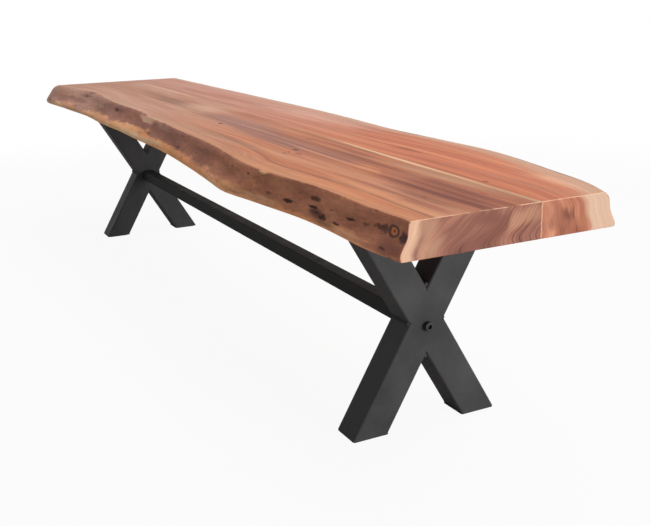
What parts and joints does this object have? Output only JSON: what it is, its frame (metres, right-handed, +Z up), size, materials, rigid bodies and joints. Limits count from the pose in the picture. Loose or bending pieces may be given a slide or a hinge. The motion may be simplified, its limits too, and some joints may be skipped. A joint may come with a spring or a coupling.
{
  "type": "bench",
  "caption": "Long live-edge bench: a thick glued timber seat on two welded X frames of black square tube joined by a tube stretcher",
  "frame": {"origin": "on the floor, under the middle of the seat", "axes": "+X along the bench towards the end nearer the camera, +Y towards the straighter natural edge at the back, +Z up"},
  "size_m": [2.2352, 0.4799, 0.4572],
  "materials": {
    "front_plank_timber": "oiled, satin",
    "rear_plank_timber": "oiled, satin",
    "frame_powder_coat": "fine satin powder coat",
    "weld_powder_coat": "powder coat over a weld bead",
    "stretcher_powder_coat": "fine satin powder coat",
    "black_oxide_steel": "black oxide",
    "plain_steel": "bare, lightly oiled",
    "insert_brass": "turned",
    "glide_felt": "pressed felt"
  },
  "bodies": {
    "root": {"front_slab": "front_plank_timber", "rear_slab": "rear_plank_timber", "right_through_leg": "frame_powder_coat", "right_upper_arm": "frame_powder_coat", "right_lower_arm": "frame_powder_coat", "right_crossing_welds": "weld_powder_coat", "right_ground_seams": "frame_powder_coat", "right_crossing_sleeve": "plain_steel", "right_top_plate": "frame_powder_coat", "right_front_foot_plate": "frame_powder_coat", "right_front_foot_glide": "glide_felt", "right_rear_foot_plate": "frame_powder_coat", "right_rear_foot_glide": "glide_felt", "right_top_inserts": "insert_brass", "right_top_washers": "black_oxide_steel", "right_top_bolts": "black_oxide_steel", "right_stretcher_end_plate": "stretcher_powder_coat", "right_stretcher_nut": "plain_steel", "right_stretcher_bolt": "black_oxide_steel", "left_through_leg": "frame_powder_coat", "left_upper_arm": "frame_powder_coat", "left_lower_arm": "frame_powder_coat", "left_crossing_welds": "weld_powder_coat", "left_ground_seams": "frame_powder_coat", "left_crossing_sleeve": "plain_steel", "left_top_plate": "frame_powder_coat", "left_front_foot_plate": "frame_powder_coat", "left_front_foot_glide": "glide_felt", "left_rear_foot_plate": "frame_powder_coat", "left_rear_foot_glide": "glide_felt", "left_top_inserts": "insert_brass", "left_top_washers": "black_oxide_steel", "left_top_bolts": "black_oxide_steel", "left_stretcher_end_plate": "stretcher_powder_coat", "left_stretcher_nut": "plain_steel", "left_stretcher_bolt": "black_oxide_steel", "stretcher_tube": "stretcher_powder_coat"}
  },
  "joints": []
}
